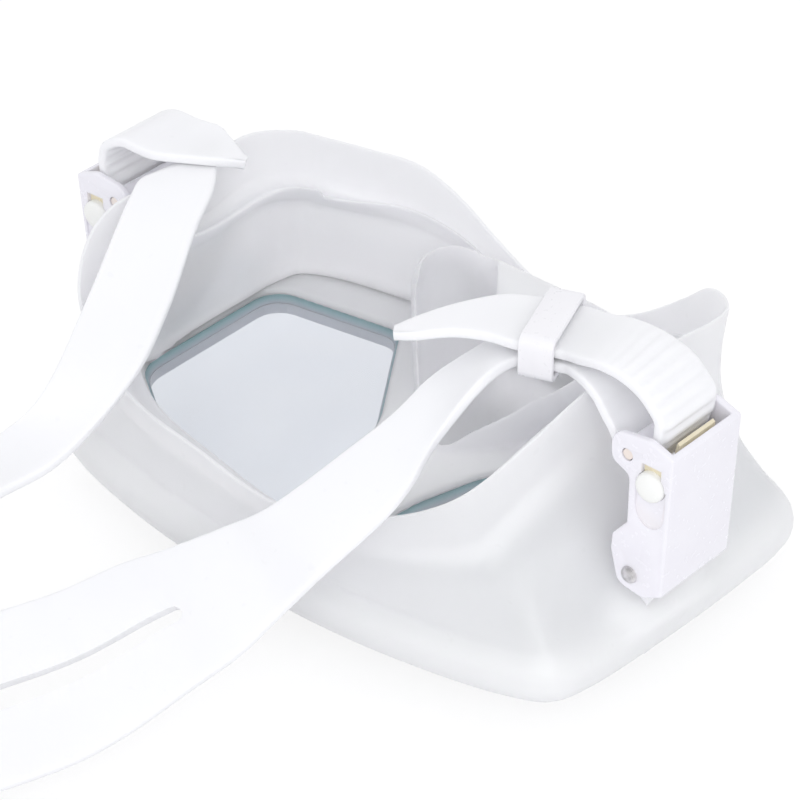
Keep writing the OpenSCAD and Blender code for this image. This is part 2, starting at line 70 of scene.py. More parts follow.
class Tree:
    """A node tree with short calls to build it."""

    def __init__(self, tree):
        self.tree = tree

    def add(self, kind, **values):
        node = self.tree.nodes.new(kind)
        for key, value in values.items():
            setattr(node, key, value)
        return node

    def link(self, a, b):
        self.tree.links.new(a, b)

    def plain_rays(self):
        """1 for rays of the camera, mirrors and glass, 0 for light that falls on the object."""
        path = self.add("ShaderNodeLightPath")
        two = self.add("ShaderNodeMath", operation="MAXIMUM")
        three = self.add("ShaderNodeMath", operation="MAXIMUM")
        self.link(path.outputs["Is Camera Ray"], two.inputs[0])
        self.link(path.outputs["Is Glossy Ray"], two.inputs[1])
        self.link(two.outputs[0], three.inputs[0])
        self.link(path.outputs["Is Transmission Ray"], three.inputs[1])
        return three.outputs[0]


class Material(Tree):
    """A new material's tree, with its textures in object coordinates."""

    def __init__(self, name):
        self.mat = bpy.data.materials.new(name)
        self.mat.use_nodes = True
        super().__init__(self.mat.node_tree)
        self.bsdf = self.tree.nodes["Principled BSDF"]
        self.coord = self.add("ShaderNodeTexCoord").outputs["Object"]

    def noise(self, scale, detail=4.0, rough=0.5, stretch=None):
        """Noise at a scale in features per metre."""
        place = self.coord
        if stretch:
            mapping = self.add("ShaderNodeMapping")
            mapping.inputs["Scale"].default_value = stretch
            self.link(place, mapping.inputs["Vector"])
            place = mapping.outputs["Vector"]
        node = self.add("ShaderNodeTexNoise")
        node.inputs["Scale"].default_value = scale
        node.inputs["Detail"].default_value = detail
        node.inputs["Roughness"].default_value = rough
        self.link(place, node.inputs["Vector"])
        return node.outputs["Fac"]

    def ramp(self, value, stops):
        """Colours at places from 0 to 1 along a value."""
        node = self.add("ShaderNodeValToRGB")
        ramp = node.color_ramp
        while len(ramp.elements) < len(stops):
            ramp.elements.new(0.5)
        for element, (at, colour) in zip(ramp.elements, stops):
            element.position = at
            element.color = (*colour, 1.0)
        self.link(value, node.inputs["Fac"])
        return node.outputs["Color"]

    def span(self, value, low, high, src=(0.3, 0.7)):
        """A value with its range src laid on low to high."""
        node = self.add("ShaderNodeMapRange")
        node.inputs["From Min"].default_value = src[0]
        node.inputs["From Max"].default_value = src[1]
        node.inputs["To Min"].default_value = low
        node.inputs["To Max"].default_value = high
        self.link(value, node.inputs["Value"])
        return node.outputs["Result"]

    def convex(self, low, high, src):
        """How convex the mesh is, with its range src laid on low to high: flat is 0.5."""
        geometry = self.add("ShaderNodeNewGeometry")
        return self.span(geometry.outputs["Pointiness"], low, high, src)

    def mix(self, a, b, fac):
        node = self.add("ShaderNodeMix", data_type="RGBA")
        for value, socket in ((a, node.inputs[6]), (b, node.inputs[7]), (fac, node.inputs[0])):
            if isinstance(value, tuple):
                socket.default_value = (*value, 1.0)
            else:
                self.link(value, socket)
        return node.outputs[2]

    def bump(self, layers):
        """Bump from pairs of height and depth in metres, fine ones first."""
        normal = None
        for height, depth in layers:
            node = self.add("ShaderNodeBump")
            node.inputs["Strength"].default_value = 1.0
            node.inputs["Distance"].default_value = depth
            self.link(height, node.inputs["Height"])
            if normal is not None:
                self.link(normal, node.inputs["Normal"])
            normal = node.outputs["Normal"]
        self.link(normal, self.bsdf.inputs["Normal"])

    def set(self, **values):
        """The shader's sockets, each from a number, a vector or another node."""
        for key, value in values.items():
            socket = self.bsdf.inputs[key.replace("_", " ")]
            if isinstance(value, (int, float, tuple)):
                socket.default_value = value
            else:
                self.link(value, socket)


def silicone(name, pale, shade, rough, glow):
    """Moulded silicone: faint cloudy colour, fine moulded skin, dust specks and soft depth."""
    n = Material(name)
    cloud = n.noise(38, 3)
    fine = n.noise(900, 5, 0.6)
    dust, paler_edge = tuple(c * 0.93 for c in shade), tuple(min(1.0, c * 1.02) for c in pale)
    colour = n.ramp(cloud, [(0.32, shade), (0.68, pale)])
    colour = n.mix(colour, dust, n.span(n.noise(420, 1, 0.3), 0.0, 0.35, (0.74, 0.80)))
    # Paler towards convex edges, as far as the mesh's pointiness rises above flat
    colour = n.mix(colour, paler_edge, n.convex(0.0, 1.0, (0.5, 0.56)))
    n.set(Base_Color=colour, Roughness=n.span(n.noise(95, 4), *rough), IOR=1.42)
    n.set(Subsurface_Weight=glow, Subsurface_Radius=(0.010, 0.0095, 0.010), Subsurface_Scale=1.0)
    n.set(Coat_Weight=0.15, Coat_Roughness=0.22)
    n.bump([(fine, 0.000012), (n.noise(150, 3), 0.00004), (cloud, 0.00012)])
    return n.mat


def plastic(name, pale, shade, rough=(0.22, 0.28), coat=0.2, hollow_shade=None):
    """Moulded hard plastic: faint flow marks, a fine grain, and painted shade: a warmer, darker
    colour in its corners and hollows.
    """
    n = Material(name)
    cloud = n.noise(120, 3)
    grain = n.noise(700, 2)
    colour = n.ramp(cloud, [(0.3, shade), (0.7, pale)])
    if hollow_shade:
        # Painted shade: where the mesh is hollow, the colour moves to the darker, warmer one that
        # shade gives there
        colour = n.mix(colour, hollow_shade, n.convex(0.6, 0.0, (0.42, 0.5)))
    n.set(Base_Color=colour, Roughness=n.span(grain, *rough), IOR=1.49)
    n.set(Coat_Weight=coat, Coat_Roughness=0.3, Subsurface_Weight=0.05)
    n.set(Subsurface_Radius=(0.002, 0.002, 0.002), Subsurface_Scale=1.0)
    n.bump([(grain, 0.0000008), (cloud, 0.00003)])
    return n.mat


def steel(name):
    """Brushed stainless steel with faint stains."""
    n = Material(name)
    brushed = n.noise(1500, 3, 0.6, stretch=(1.0, 0.2, 0.2))
    stain = n.noise(500, 4)
    colour = n.ramp(stain, [(0.35, (0.48, 0.47, 0.48)), (0.65, (0.82, 0.80, 0.82))])
    n.set(Base_Color=colour, Metallic=1.0, Roughness=n.span(brushed, 0.22, 0.42))
    n.bump([(brushed, 0.00001)])
    return n.mat


def glass(name):
    """Tempered lens: a faint blue-grey body with a few water marks."""
    n = Material(name)
    haze = n.noise(60, 3)
    marks = n.noise(90, 2, 0.4, stretch=(1.0, 0.25, 1.0))
    colour = n.ramp(haze, [(0.3, (0.90, 0.93, 0.985)), (0.7, (0.92, 0.945, 0.99))])
    rough = n.add("ShaderNodeMath", operation="ADD")
    n.link(n.span(haze, 0.01, 0.035), rough.inputs[0])
    n.link(n.span(marks, 0.0, 0.02, (0.55, 0.75)), rough.inputs[1])
    n.set(Base_Color=colour, Roughness=rough.outputs[0], IOR=1.45, Transmission_Weight=0.86)
    n.bump([(haze, 0.000004)])
    return n.mat


def lens_edge(name):
    """The ground edge of the glass, where its green-blue body shows, deeper towards the wearer."""
    n = Material(name)
    cloud = n.noise(420, 3)
    part = n.add("ShaderNodeSeparateXYZ")
    n.link(n.coord, part.inputs[0])
    height = n.span(part.outputs["Z"], 0.0, 1.0, (FRAME_T * MM, (FRAME_T + LENS_T) * MM))
    body = n.ramp(height, [(0.1, (0.80, 0.87, 0.93)), (0.6, (0.52, 0.80, 0.83)),
                           (0.85, (0.30, 0.62, 0.64))])
    colour = n.mix(body, (0.60, 0.82, 0.84), n.span(cloud, 0.0, 0.25, (0.35, 0.7)))
    n.set(Base_Color=colour, Roughness=n.span(cloud, 0.35, 0.55))
    n.bump([(n.noise(1800, 3), 0.00002)])
    return n.mat


SKIRT = silicone("skirt silicone", (0.97, 0.965, 0.99), (0.955, 0.95, 0.98), (0.30, 0.42), 0.8)
STRAP = silicone("strap silicone", (0.965, 0.965, 0.98), (0.945, 0.945, 0.965), (0.30, 0.40), 0.25)
# Each plastic's last colour, where one is given, is the painted shade of its hollows
HOUSING = plastic("buckle plastic", (0.895, 0.885, 0.93), (0.875, 0.86, 0.91),
                  hollow_shade=(0.82, 0.76, 0.74))
KEEPER = plastic("keeper plastic", (0.93, 0.925, 0.945), (0.91, 0.90, 0.925), (0.26, 0.38), 0.1)
FRAME = plastic("frame plastic", (0.94, 0.94, 0.955), (0.90, 0.90, 0.92))
BUTTON = plastic("button plastic", (0.945, 0.95, 0.925), (0.92, 0.925, 0.88), (0.3, 0.42), 0.1,
                 (0.78, 0.68, 0.50))
IVORY = plastic("latch plastic", (0.90, 0.83, 0.64), (0.84, 0.75, 0.52), (0.3, 0.45), 0.1,
                (0.72, 0.56, 0.30))
PEACH = plastic("axle plastic", (0.90, 0.82, 0.76), (0.85, 0.74, 0.66), (0.3, 0.45), 0.05,
                (0.62, 0.46, 0.36))
STEEL = steel("pin steel")
GLASS = glass("lens glass")
EDGE_TINT = lens_edge("lens edge")

# ---------------------------------------------------------------- mesh helpers


def tube_faces(rows, n, closed=False):
    """Faces between rows of n points each; closed joins the last row to the first."""
    faces = []
    for r in range(rows if closed else rows - 1):
        a, b = r * n, (r + 1) % rows * n
        faces += [(a + i, a + (i + 1) % n, b + (i + 1) % n, b + i) for i in range(n)]
    return faces


def capped_faces(rows, n):
    """The same with both ends closed."""
    return [tuple(range(n))[::-1], tuple(range((rows - 1) * n, rows * n))] + tube_faces(rows, n)


def add_piece(name, mesh, material, smooth=40.0):
    """An object from a mesh; faces meeting above the smooth angle stay sharp."""
    obj = bpy.data.objects.new(name, mesh)
    bpy.context.scene.collection.objects.link(obj)
    mesh.materials.append(material)
    finish_shading(obj, smooth, recalc=True)
    return obj


def new_mesh(name, verts, faces, material, smooth=40.0):
    """A piece from corners in millimetres; faces meeting above the smooth angle stay sharp."""
    mesh = bpy.data.meshes.new(name)
    mesh.from_pydata([tuple(v) for v in np.asarray(verts) * MM], [], [tuple(f) for f in faces])
    mesh.validate()
    return add_piece(name, mesh, material, smooth)


def finish_shading(obj, smooth=40.0, recalc=False):
    """Sharp and smooth edges. Faces are turned outward only on a new solid: after a cut, an
    inner hollow's faces look inward."""
    mesh = obj.data
    work = bmesh.new()
    work.from_mesh(mesh)
    if recalc:
        bmesh.ops.recalc_face_normals(work, faces=work.faces)
    for face in work.faces:
        face.smooth = True
    limit = math.radians(smooth)
    for edge in work.edges:
        edge.smooth = len(edge.link_faces) != 2 or edge.calc_face_angle(0.0) < limit
    work.to_mesh(mesh)
    work.free()


def apply_all(obj, smooth=40.0):
    """Turns the modifiers of a piece into mesh."""
    depsgraph = bpy.context.evaluated_depsgraph_get()
    mesh = bpy.data.meshes.new_from_object(obj.evaluated_get(depsgraph))
    obj.modifiers.clear()
    obj.data = mesh
    finish_shading(obj, smooth)
    return obj


def boolean(obj, tool, operation="DIFFERENCE"):
    """Cuts a tool out of a piece, or joins it on; the tool is used up."""
    mod = obj.modifiers.new("cut", "BOOLEAN")
    mod.operation = operation
    mod.solver = "MANIFOLD"
    mod.object = tool
    apply_all(obj)
    bpy.data.objects.remove(tool)


def bevelled(obj, width, segments=3, angle=30.0, smooth=40.0):
    """Rounds the edges of a piece that turn by more than an angle."""
    mod = obj.modifiers.new("bevel", "BEVEL")
    mod.width = width * MM
    mod.segments = segments
    mod.limit_method = "ANGLE"
    mod.angle_limit = math.radians(angle)
    return apply_all(obj, smooth)


def stacked(name, levels, material):
    """A solid through closed outlines of as many points, each with its height, in millimetres."""
    verts = [(x, y, z) for line, z in levels for x, y in line]
    return new_mesh(name, verts, capped_faces(len(levels), len(levels[0][0])), material)


def prism(name, outline, z0, z1, material):
    return stacked(name, [(outline, z0), (outline, z1)], material)


def hull(name, balls, material):
    """The hull of balls given as x, y, z, radius in millimetres."""
    ball = bmesh.new()
    bmesh.ops.create_icosphere(ball, subdivisions=4, radius=1.0)
    work = bmesh.new()
    for x, y, z, r in balls:
        for v in ball.verts:
            work.verts.new((Vector((x, y, z)) + v.co * r) * MM)
    ball.free()
    bmesh.ops.convex_hull(work, input=work.verts)
    loose = [v for v in work.verts if not v.link_faces]
    bmesh.ops.delete(work, geom=loose, context="VERTS")
    mesh = bpy.data.meshes.new(name)
    work.to_mesh(mesh)
    work.free()
    return add_piece(name, mesh, material)


def spline(points, k, closed=False):
    """Catmull-Rom through the points, k steps to a span, as the part's source draws them."""
    p = np.asarray(points, float)
    n = len(p)

    def at(i):
        return p[i % n] if closed else p[min(max(i, 0), n - 1)]
    out = []
    for i in range(n if closed else n - 1):
        a, b, c, d = at(i - 1), at(i), at(i + 1), at(i + 2)
        for j in range(k):
            t = j / k
            out.append(0.5 * (2 * b + (c - a) * t + (2 * a - 5 * b + 4 * c - d) * t * t
                              + (3 * b - a - 3 * c + d) * t ** 3))
    if not closed:
        out.append(p[-1])
    return np.array(out)


def normals(line):
    """Unit normals of a closed flat line, on the left of its run."""
    t = np.roll(line, -1, 0) - np.roll(line, 1, 0)
    n = np.stack([-t[:, 1], t[:, 0]], 1)
    return n / np.linalg.norm(n, axis=1)[:, None]


def run_along(line):
    """The distance run at each point of a line."""
    return np.concatenate([[0], np.cumsum(np.linalg.norm(np.diff(line, axis=0), axis=1))])


def rounded(corners, k=8):
    """Corners given as x, y, radius, turned into arcs."""
    out = []
    n = len(corners)
    for i in range(n):
        a, b, c = (np.array(corners[j % n][:2], float) for j in (i - 1, i, i + 1))
        r = corners[i][2]
        u, v = (a - b) / np.linalg.norm(a - b), (c - b) / np.linalg.norm(c - b)
        half = math.acos(float(u @ v)) / 2
        bis = (u + v) / np.linalg.norm(u + v)
        m = b + bis * r / math.sin(half)
        p0, p1 = b + u * r / math.tan(half) - m, b + v * r / math.tan(half) - m
        a0, a1 = math.atan2(p0[1], p0[0]), math.atan2(p1[1], p1[0])
        turn = (a1 - a0 + math.pi) % (2 * math.pi) - math.pi
        out += [m + r * np.array([math.cos(a0 + turn * j / k), math.sin(a0 + turn * j / k)])
                for j in range(k + 1)]
    return np.array(out)


# ---------------------------------------------------------------- skirt

# The rim and the sealing edge, brow to cheek by the right temple; the left edge is given mirrored
RIM = [(0, -54), (25, -53), (48, -49.5), (65, -45), (74.5, -39.5), (77.8, -29), (79.2, -12),
       (80, 6), (80, 21), (79.4, 34.5), (76, 44), (64, 50), (47, 53.5), (32, 56.5), (20, 57.5),
       (10, 58), (0, 58)]
EDGE = [(0, -49, 24), (18, -50, 29), (32, -49, 34.5), (43, -45, 39.5), (52, -39.5, 46.5),
        (58, -28, 55.5), (60.5, -12, 61.5), (61.5, 4, 61.7), (62.3, 18, 60.6), (62, 28, 59),
        (60, 36.5, 57.5), (53, 44.5, 54.3), (44, 50.9, 49.3), (34, 55.4, 40.1), (22, 56.5, 30.6),
        (11, 57.5, 24.8), (0, 58, 23.5)]
EDGE_LEFT = [(0, -49, 24), (20, -50, 28.5), (38, -50.5, 33), (52, -48, 39), (62, -44, 48),
             (66.5, -36, 57.5), (66, -25, 63.3), (61.5, -10, 63.2), (64, 11.5, 64),
             (61.5, 25.5, 60.8), (57.5, 35, 56), (50.5, 43, 52), (42, 50, 48.2), (33, 54.5, 41),
             (22, 56.5, 32), (11, 57.5, 25.2), (0, 58, 23.5)]
# At the same points: how far the wall is drawn in, the inner lip's share of its full reach, and
# how much higher on the wall the lip sits
DENT = [1, 1, 1.5, 3, 4, 4.5, 5, 6, 6.5, 6.5, 7, 6, 3.5, 1, -1, -2, -2]
DENT_LEFT = [1, 1, 1.5, 3, 4, 4.5, 5, 5, 4, 2, 2, 2, 1, 0, -1, -2, -2]
REACH = [0.3, 0.4, 0.5, 0.7, 0.8, 0.9, 0.8, 0.6, 0.8, 0.75, 0.7, 0.55, 0.2, 0.1, 0.1, 0.1, 0.1]
LIP_UP = [0, 0, 0, 0, 0.02, 0.05, 0.07, 0.08, 0.06, 0.01, 0, 0, 0, 0, 0, 0, 0]
WALL_FOOT, WALL_EDGE, LIP_REACH = 1.5, 1.0, 9.0
FOOT_IN, FOOT_Z = 3.5, 11.5
PLATE_Z = FRAME_T + LENS_T + SEAT_T
STATIONS, SECTION_STEPS = 9, 4
# The section's outer side: distance inward from the rim with height, then shares of the wall
RIM_SECTION = [(5, 0), (3, 0), (1.3, 0.5), (0.3, 2), (0, 4.6), (0.5, 7.4), (1.8, 9.6),
               (FOOT_IN, FOOT_Z)]
OUTER_WALL = (0.06, 0.16, 0.28, 0.45, 0.62, 0.78, 0.9, 0.97)
# Swelling of the wall's outer side round each frame arm, under the foot of the buckle
BUCKLE_Y, BOSS_HALF, BOSS_Z, BOSS_RISE, BOSS_OUT = -6.0, 13.5, 13.8, 6.2, 4.3
BOSS_FROM, BOSS_FULL = 71, 74
OUTER_POINTS = (len(RIM_SECTION) + len(OUTER_WALL) + 1) * SECTION_STEPS


def all_round(right, left):
    """One closed spline from the brow past the right temple and back by the mirrored left."""
    return spline(list(right) + [(-p[0], *p[1:]) for p in left[-2:0:-1]], STATIONS, True)


def all_values(right, left):
    """The same for one number to a point."""
    return spline([[v] for v in right + left[-2:0:-1]], STATIONS, True)[:, 0]


def wall_t(s):
    """The wall's thickness at a share of the way up."""
    return WALL_FOOT + (WALL_EDGE - WALL_FOOT) * s


class Ring:
    """The skirt's stations: rim point, sealing edge point and inward direction of each."""

    def __init__(self):
        self.rim = all_round(RIM, RIM)
        self.edge = all_round(EDGE, EDGE_LEFT)
        self.dent = all_values(DENT, DENT_LEFT)
        self.reach = all_values(REACH, REACH)
        self.lip_up = all_values(LIP_UP, LIP_UP)
        self.inward = normals(self.rim)
        near = sum(np.roll(self.inward, j, 0) for j in range(-STATIONS, STATIONS + 1))
        self.lip_in = near / np.linalg.norm(near, axis=1)[:, None]
        self.n = len(self.rim)

    def rim_at(self, d, z):
        """Points a distance inward from the rim, at one height."""
        p = self.rim + self.inward * d
        return np.column_stack([p, np.full(self.n, z)])

    def wall_at(self, s, d):
        """Points at a share of the way up the wall, a distance inward from its outer face."""
        a = self.rim_at(FOOT_IN, FOOT_Z)
        p = a + (self.edge - a) * s
        q = d + self.dent * math.sin(math.pi * min(max(s, 0), 1))
        p[:, :2] += self.inward * q[:, None]
        return p

    def lip_at(self, s, d):
        """The same for the inner lip, from the wall's inner face."""
        a = self.rim_at(FOOT_IN, FOOT_Z)
        s = s + self.lip_up
        p = a + (self.edge - a) * s[:, None]
        p[:, :2] += self.inward * (wall_t(0.5) + self.dent * np.sin(math.pi * s))[:, None]
        p[:, :2] += self.lip_in * (np.zeros(self.n) + d)[:, None]
        return p


RING = Ring()


def skirt_wall():
    """The rim, wall and inner lip as one closed section swept round the stations."""
    foot = FOOT_IN + WALL_FOOT
    r = LIP_REACH * RING.reach
    lip = ((0.69, 0), (0.66, 0.35 * r), (0.71, r), (0.69, r + 0.5), (0.6, 0.5 * r + 0.4),
           (0.52, 0.1))
    rows = [RING.rim_at(d, z) for d, z in RIM_SECTION]
    rows += [RING.wall_at(s, 0) for s in OUTER_WALL]
    rows += [RING.wall_at(1.0, 0.15), RING.wall_at(1.004, wall_t(1) * 0.5),
             RING.wall_at(0.997, wall_t(1) * 0.9)]
    rows += [RING.wall_at(s, wall_t(s)) for s in (0.95, 0.87, 0.79)]
    rows += [RING.lip_at(s, d) for s, d in lip]
    rows += [RING.wall_at(s, wall_t(s)) for s in (0.36, 0.2, 0.08)]
    rows += [RING.rim_at(foot, z) for z in (FOOT_Z - 1, 5, 1.5)]
    grid = np.stack(rows)                       # section point, station, xyz
    fine = spline(grid.reshape(len(rows), -1), SECTION_STEPS, True).reshape(-1, RING.n, 3)
    m = len(fine)
    verts = fine.transpose(1, 0, 2).reshape(-1, 3)
    x, y, z = verts.T
    near = np.exp(-np.abs((y - BUCKLE_Y) / BOSS_HALF) ** 4 - np.abs((z - BOSS_Z) / BOSS_RISE) ** 3)
    near *= np.tile(np.arange(m) < OUTER_POINTS, RING.n)
    side = np.clip((np.abs(x) - BOSS_FROM) / (BOSS_FULL - BOSS_FROM), 0, 1)
    verts[:, 0] += np.sign(x) * BOSS_OUT * near * side
    return new_mesh("skirt_wall", verts, tube_faces(RING.n, m, True), SKIRT, 80)


# A lens opening's corners: x, y, radius
LENS = [(73.5, 31.5, 7), (38.5, 37.5, 5), (17, 6, 30), (12, -12, 30), (10.5, -39, 8),
        (45, -32.5, 14), (73.5, -13, 9)]
LENS_LINE = rounded(LENS)


def lens_outline(d, side):
    """The lens opening grown by d: side 1 right, -1 left."""
    line = LENS_LINE - normals(LENS_LINE) * d
    return line if side > 0 else line[::-1] * [-1, 1]


# The nose pocket is the hull of balls on either side, with a rounder well beside its middle on
# each: x, y, z, radius
NOSE_OUT, NOSE_WALL, BRIDGE_R = 9.0, 1.8, 8.0
BALLS = [(0, 13, 7, BRIDGE_R), (7.5, 42, 12.5 - NOSE_OUT, 12.5), (22, 40, 26.5, 10.5)]
WELLS = [(9.6, 43.2, 13.4 - NOSE_OUT, 11.4), (15.4, 42.8, 15, 10.8)]
PLATE_RIM, PLATE_LOW = 4.5, 0.4
CHAMFER, CHAMFER_DEPTH, OVERCUT = 0.9, 1.3, 0.1
MELT_VOXEL, MELT_EASE, MELT_KEEP = 0.42, 7, 0.35


def nose_hulls(d, name):
    """The pocket's hulls, with their skin moved inward by d."""
    both = [(x * s, y, z, r - d) for x, y, z, r in BALLS for s in (1, -1)]
    return [hull(name, both, SKIRT)] + [
        hull(name, [(x * s, y, z, r - d) for x, y, z, r in WELLS], SKIRT) for s in (1, -1)]


def skirt_floor():
    """The seat plate with its lens windows and the nose pocket, melted into one moulding."""
    plate = prism("skirt_floor", RING.rim_at(PLATE_RIM, 0)[:, :2], PLATE_LOW, PLATE_Z, SKIRT)
    for part in nose_hulls(0.0, "nose"):
        boolean(plate, part, "UNION")
    window = [(WINDOW, -2), (WINDOW, PLATE_Z - CHAMFER_DEPTH),
              (WINDOW + CHAMFER, PLATE_Z + OVERCUT), (WINDOW + CHAMFER, FOOT_Z)]
    for side in (1, -1):
        boolean(plate, stacked("window", [(lens_outline(d, side), z) for d, z in window], SKIRT))
        boolean(plate, prism("groove", lens_outline(LENS_GRIP + 0.05, side), -1,
                             FRAME_T + LENS_T, SKIRT))
    for part in nose_hulls(NOSE_WALL, "nose_hollow"):
        boolean(plate, part)
    for s in (1, -1):
        boolean(plate, hull("mouth", [(0, 13, 8, BRIDGE_R - NOSE_WALL),
                                      (0, 4, 42, BRIDGE_R - NOSE_WALL),
                                      (22 * s, 40, 26.5, 10.5 - NOSE_WALL),
                                      (15 * s, 38, 58, 9)], SKIRT))
    remesh = plate.modifiers.new("melt", "REMESH")
    remesh.mode = "VOXEL"
    remesh.voxel_size = MELT_VOXEL * MM
    ease = plate.modifiers.new("ease", "SMOOTH")
    ease.factor = 0.5
    ease.iterations = MELT_EASE
    thin = plate.modifiers.new("thin", "DECIMATE")
    thin.ratio = MELT_KEEP
    apply_all(plate, 60)
    return plate


wall = skirt_wall()
floor_plate = skirt_floor()
for piece in (wall, floor_plate):
    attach(piece, "mask")
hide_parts("skirt")

# ---------------------------------------------------------------- strap

STRAP_W, STRAP_T, STRAP_ROUND = 19.0, 2.4, 0.8
# Ribs: height, pitch, length over which they rise and fade along the strap, the width over which
# they rise at its edges, and how much their wave overshoots before it is cut flat
RIB_H, RIB_PITCH, RIB_EASE, RIB_FADE, RIB_EDGE, RIB_PEAK = 0.5, 2.9, 3, 9, 1.6, 1.35
# The strap's width under which its rounded edges get smaller
ROUND_FROM = 4
PIN_X, PIN_Z, LEFT_LEAN = 76.7, 24.3, 3.0
ROLLER_X, ROLLER_UP, ROLLER_R, LOOP_GAP, LOOP_TOP = -2.0, 30.3, 2.6, 0.3, 7.3
# Routes as pairs of brow and cheek edge points of the strap's middle, in the mask's frame
TAIL_RUN = [[(79, -15.5, 65.6), (78.6, 3.5, 65.6)], [(75.4, -15.5, 68.8), (74.4, 3.5, 68.9)],
            [(70.2, -15.4, 70.6), (67.8, 3.5, 70.6)], [(64, -15, 70.5), (60, 3.8, 70.3)],
            [(58, -13.8, 68.4), (52.4, 4.4, 68.2)], [(53.4, -12.6, 66.9), (46.8, 5.2, 66.8)],
            [(50.4, -13.4, 66.8), (43.7, 4.3, 66.7)]]
TAIL_END = [[(50.3, -13.4, 66.8), (43.6, 4.3, 66.7)], [(47.5, -14.2, 66.7), (40.6, 3.5, 66.6)],
            [(42.4, -16.2, 66.6), (35.5, 1.5, 66.5)], [(36, -17.6, 66.6), (28.6, -2.6, 66.4)],
            [(29.5, -21, 66.4), (23.4, -11.6, 66.4)], [(23, -26, 65.2), (19, -20.4, 65.4)],
            [(19, -28, 64.6), (17.4, -25.6, 64.8)]]
ARM_RUN = [[(64, -15.5, 62.6), (64, 3.5, 62.6)], [(60.8, -15.2, 64.4), (60, 3.7, 64.8)],
           [(57, -14, 64.4), (53.6, 4.4, 64.5)], [(53.4, -12.6, 63.5), (46.8, 5.2, 63.5)],
           [(50.4, -13.4, 63.3), (43.7, 4.3, 63.3)]]
ARM = [[(50.3, -13.4, 63.3), (43.6, 4.3, 63.3)], [(47.5, -14.2, 63.1), (40.6, 3.5, 63.1)],
       [(43, -16.6, 62.8), (35.6, 0.6, 62.8)], [(41.5, -26, 61), (31.5, -10.5, 60)],
       [(38.5, -36, 51), (26.7, -23.8, 55.5)], [(40, -46, 45.5), (25.3, -34.8, 51)],
       [(39.5, -54.5, 41), (22.5, -45.5, 46.5)], [(35, -66.2, 32.8), (14.2, -59.8, 36)],
       [(27.4, -72, 21), (3.4, -64.2, 27)]]
BACK = [[(22.5, -81.2, 12), (-6.8, -71.1, 20)], [(16.2, -90.3, 4.4), (-15.8, -78.7, 15)],
        [(12.6, -108.1, 0), (-19.8, -93, 14)], [(8.5, -124.5, -1), (-24.4, -106.3, 14)],
        [(0, -148, 1), (-36, -128, 11)], [(-20, -174, 4), (-54, -149, 8)],
        [(-37, -190, 11), (-70, -164, 12)], [(-45, -195, 22), (-79, -170, 22)],
        [(-42, -178, 33), (-80, -160, 32)], [(-37, -150, 35), (-76, -143, 34)],
        [(-36, -127, 34), (-72, -123, 33)]]
ARM_LEFT = [[(-38, -106, 31), (-66, -104, 30)], [(-39, -91, 29.5), (-59, -90, 27)],
            [(-35, -75.5, 33), (-54.5, -78, 30)], [(-33.6, -55, 43.5), (-47.6, -69, 41)],
            [(-39, -37.5, 52), (-54, -49.5, 51)], [(-45.7, -21.9, 61.5), (-59.2, -33.9, 61.4)],
            [(-50.3, -11.4, 65), (-62.6, -25.4, 65.2)]]
ARM_RUN_LEFT = [[(-50.5, -11.2, 65), (-62.8, -25.1, 65.2)], [(-56, -4, 66), (-64.4, -20.8, 66.1)],
                [(-61.4, 2.2, 65.6), (-64.2, -16.6, 65.6)]]
# The left tail, as x, y, z from the left buckle's hinge pin
TAIL_LEFT = [[(3.7, -9.5, 37.6), (3.7, 9.5, 37.6)], [(3.7, -9.5, 38.6), (3.7, 9.5, 38.6)],
             [(2.2, -9.5, 42.4), (2, 9.5, 42.4)], [(-2.8, -9.4, 45.2), (-3.2, 9.6, 45)],
             [(-8.2, -9.2, 45), (-9, 9.8, 44.8)], [(-12.6, -8.4, 44.5), (-12.6, 10.4, 44.5)],
             [(-17.6, -5, 43.9), (-15.4, 11.4, 43.9)], [(-24.4, 0.2, 43), (-21, 9.6, 42.8)],
             [(-28.6, 5.2, 41.6), (-27.4, 7.2, 41.6)]]
# The turn round a roller, as x and z from the hinge pin
LOOP_R, LOOP_OUT = ROLLER_R + LOOP_GAP + STRAP_T / 2, 3.7
LOOP = [(-9.8, ROLLER_UP + 4.1), (-8.2, ROLLER_UP + 2.2), (-6.9, ROLLER_UP)]
LOOP += [(ROLLER_X + LOOP_R * math.cos(a), ROLLER_UP + LOOP_R * math.sin(a))
         for a in [math.radians(deg) for deg in range(200, 361, 16)]]
LOOP += [(2.6, ROLLER_UP + 2.1), (3.5, ROLLER_UP + 4.3), (LOOP_OUT, ROLLER_UP + LOOP_TOP - 0.5)]
# The arm's way to that turn in the same x and z, and the distances of two rows from it
ENTRY_WAY, ENTRY_AT = (-0.59, 0.81), (0.4, 2.7)
# The slot between the two bands: steps to a span, its first step, half its width as a share of the
# band's, and how much wider it gets midway
SLOT_STEPS, SLOT_START, SLOT_SHARE, SLOT_SWELL = 16, 8, 0.055, 0.4


def at_buckle(side, x, y, z):
    """A point of a buckle, from its hinge pin, in the mask's frame: side 1 right, -1 left."""
    a = math.radians(0 if side > 0 else LEFT_LEAN)
    return np.array([side * (PIN_X + x * math.cos(a) + z * math.sin(a)), BUCKLE_Y + y,
                     PIN_Z - x * math.sin(a) + z * math.cos(a)])


def buckle_row(side, x, z):
    return [at_buckle(side, x, y, z) for y in (-STRAP_W / 2, STRAP_W / 2)]


def arm_entry(side):
    """The arm's two rows before its turn round the roller."""
    (x, z), (a, b) = LOOP[0], ENTRY_WAY
    return [buckle_row(side, x + a * d, z + b * d) for d in ENTRY_AT]


def loop_rows(side):
    return [buckle_row(side, x, z) for x, z in LOOP]


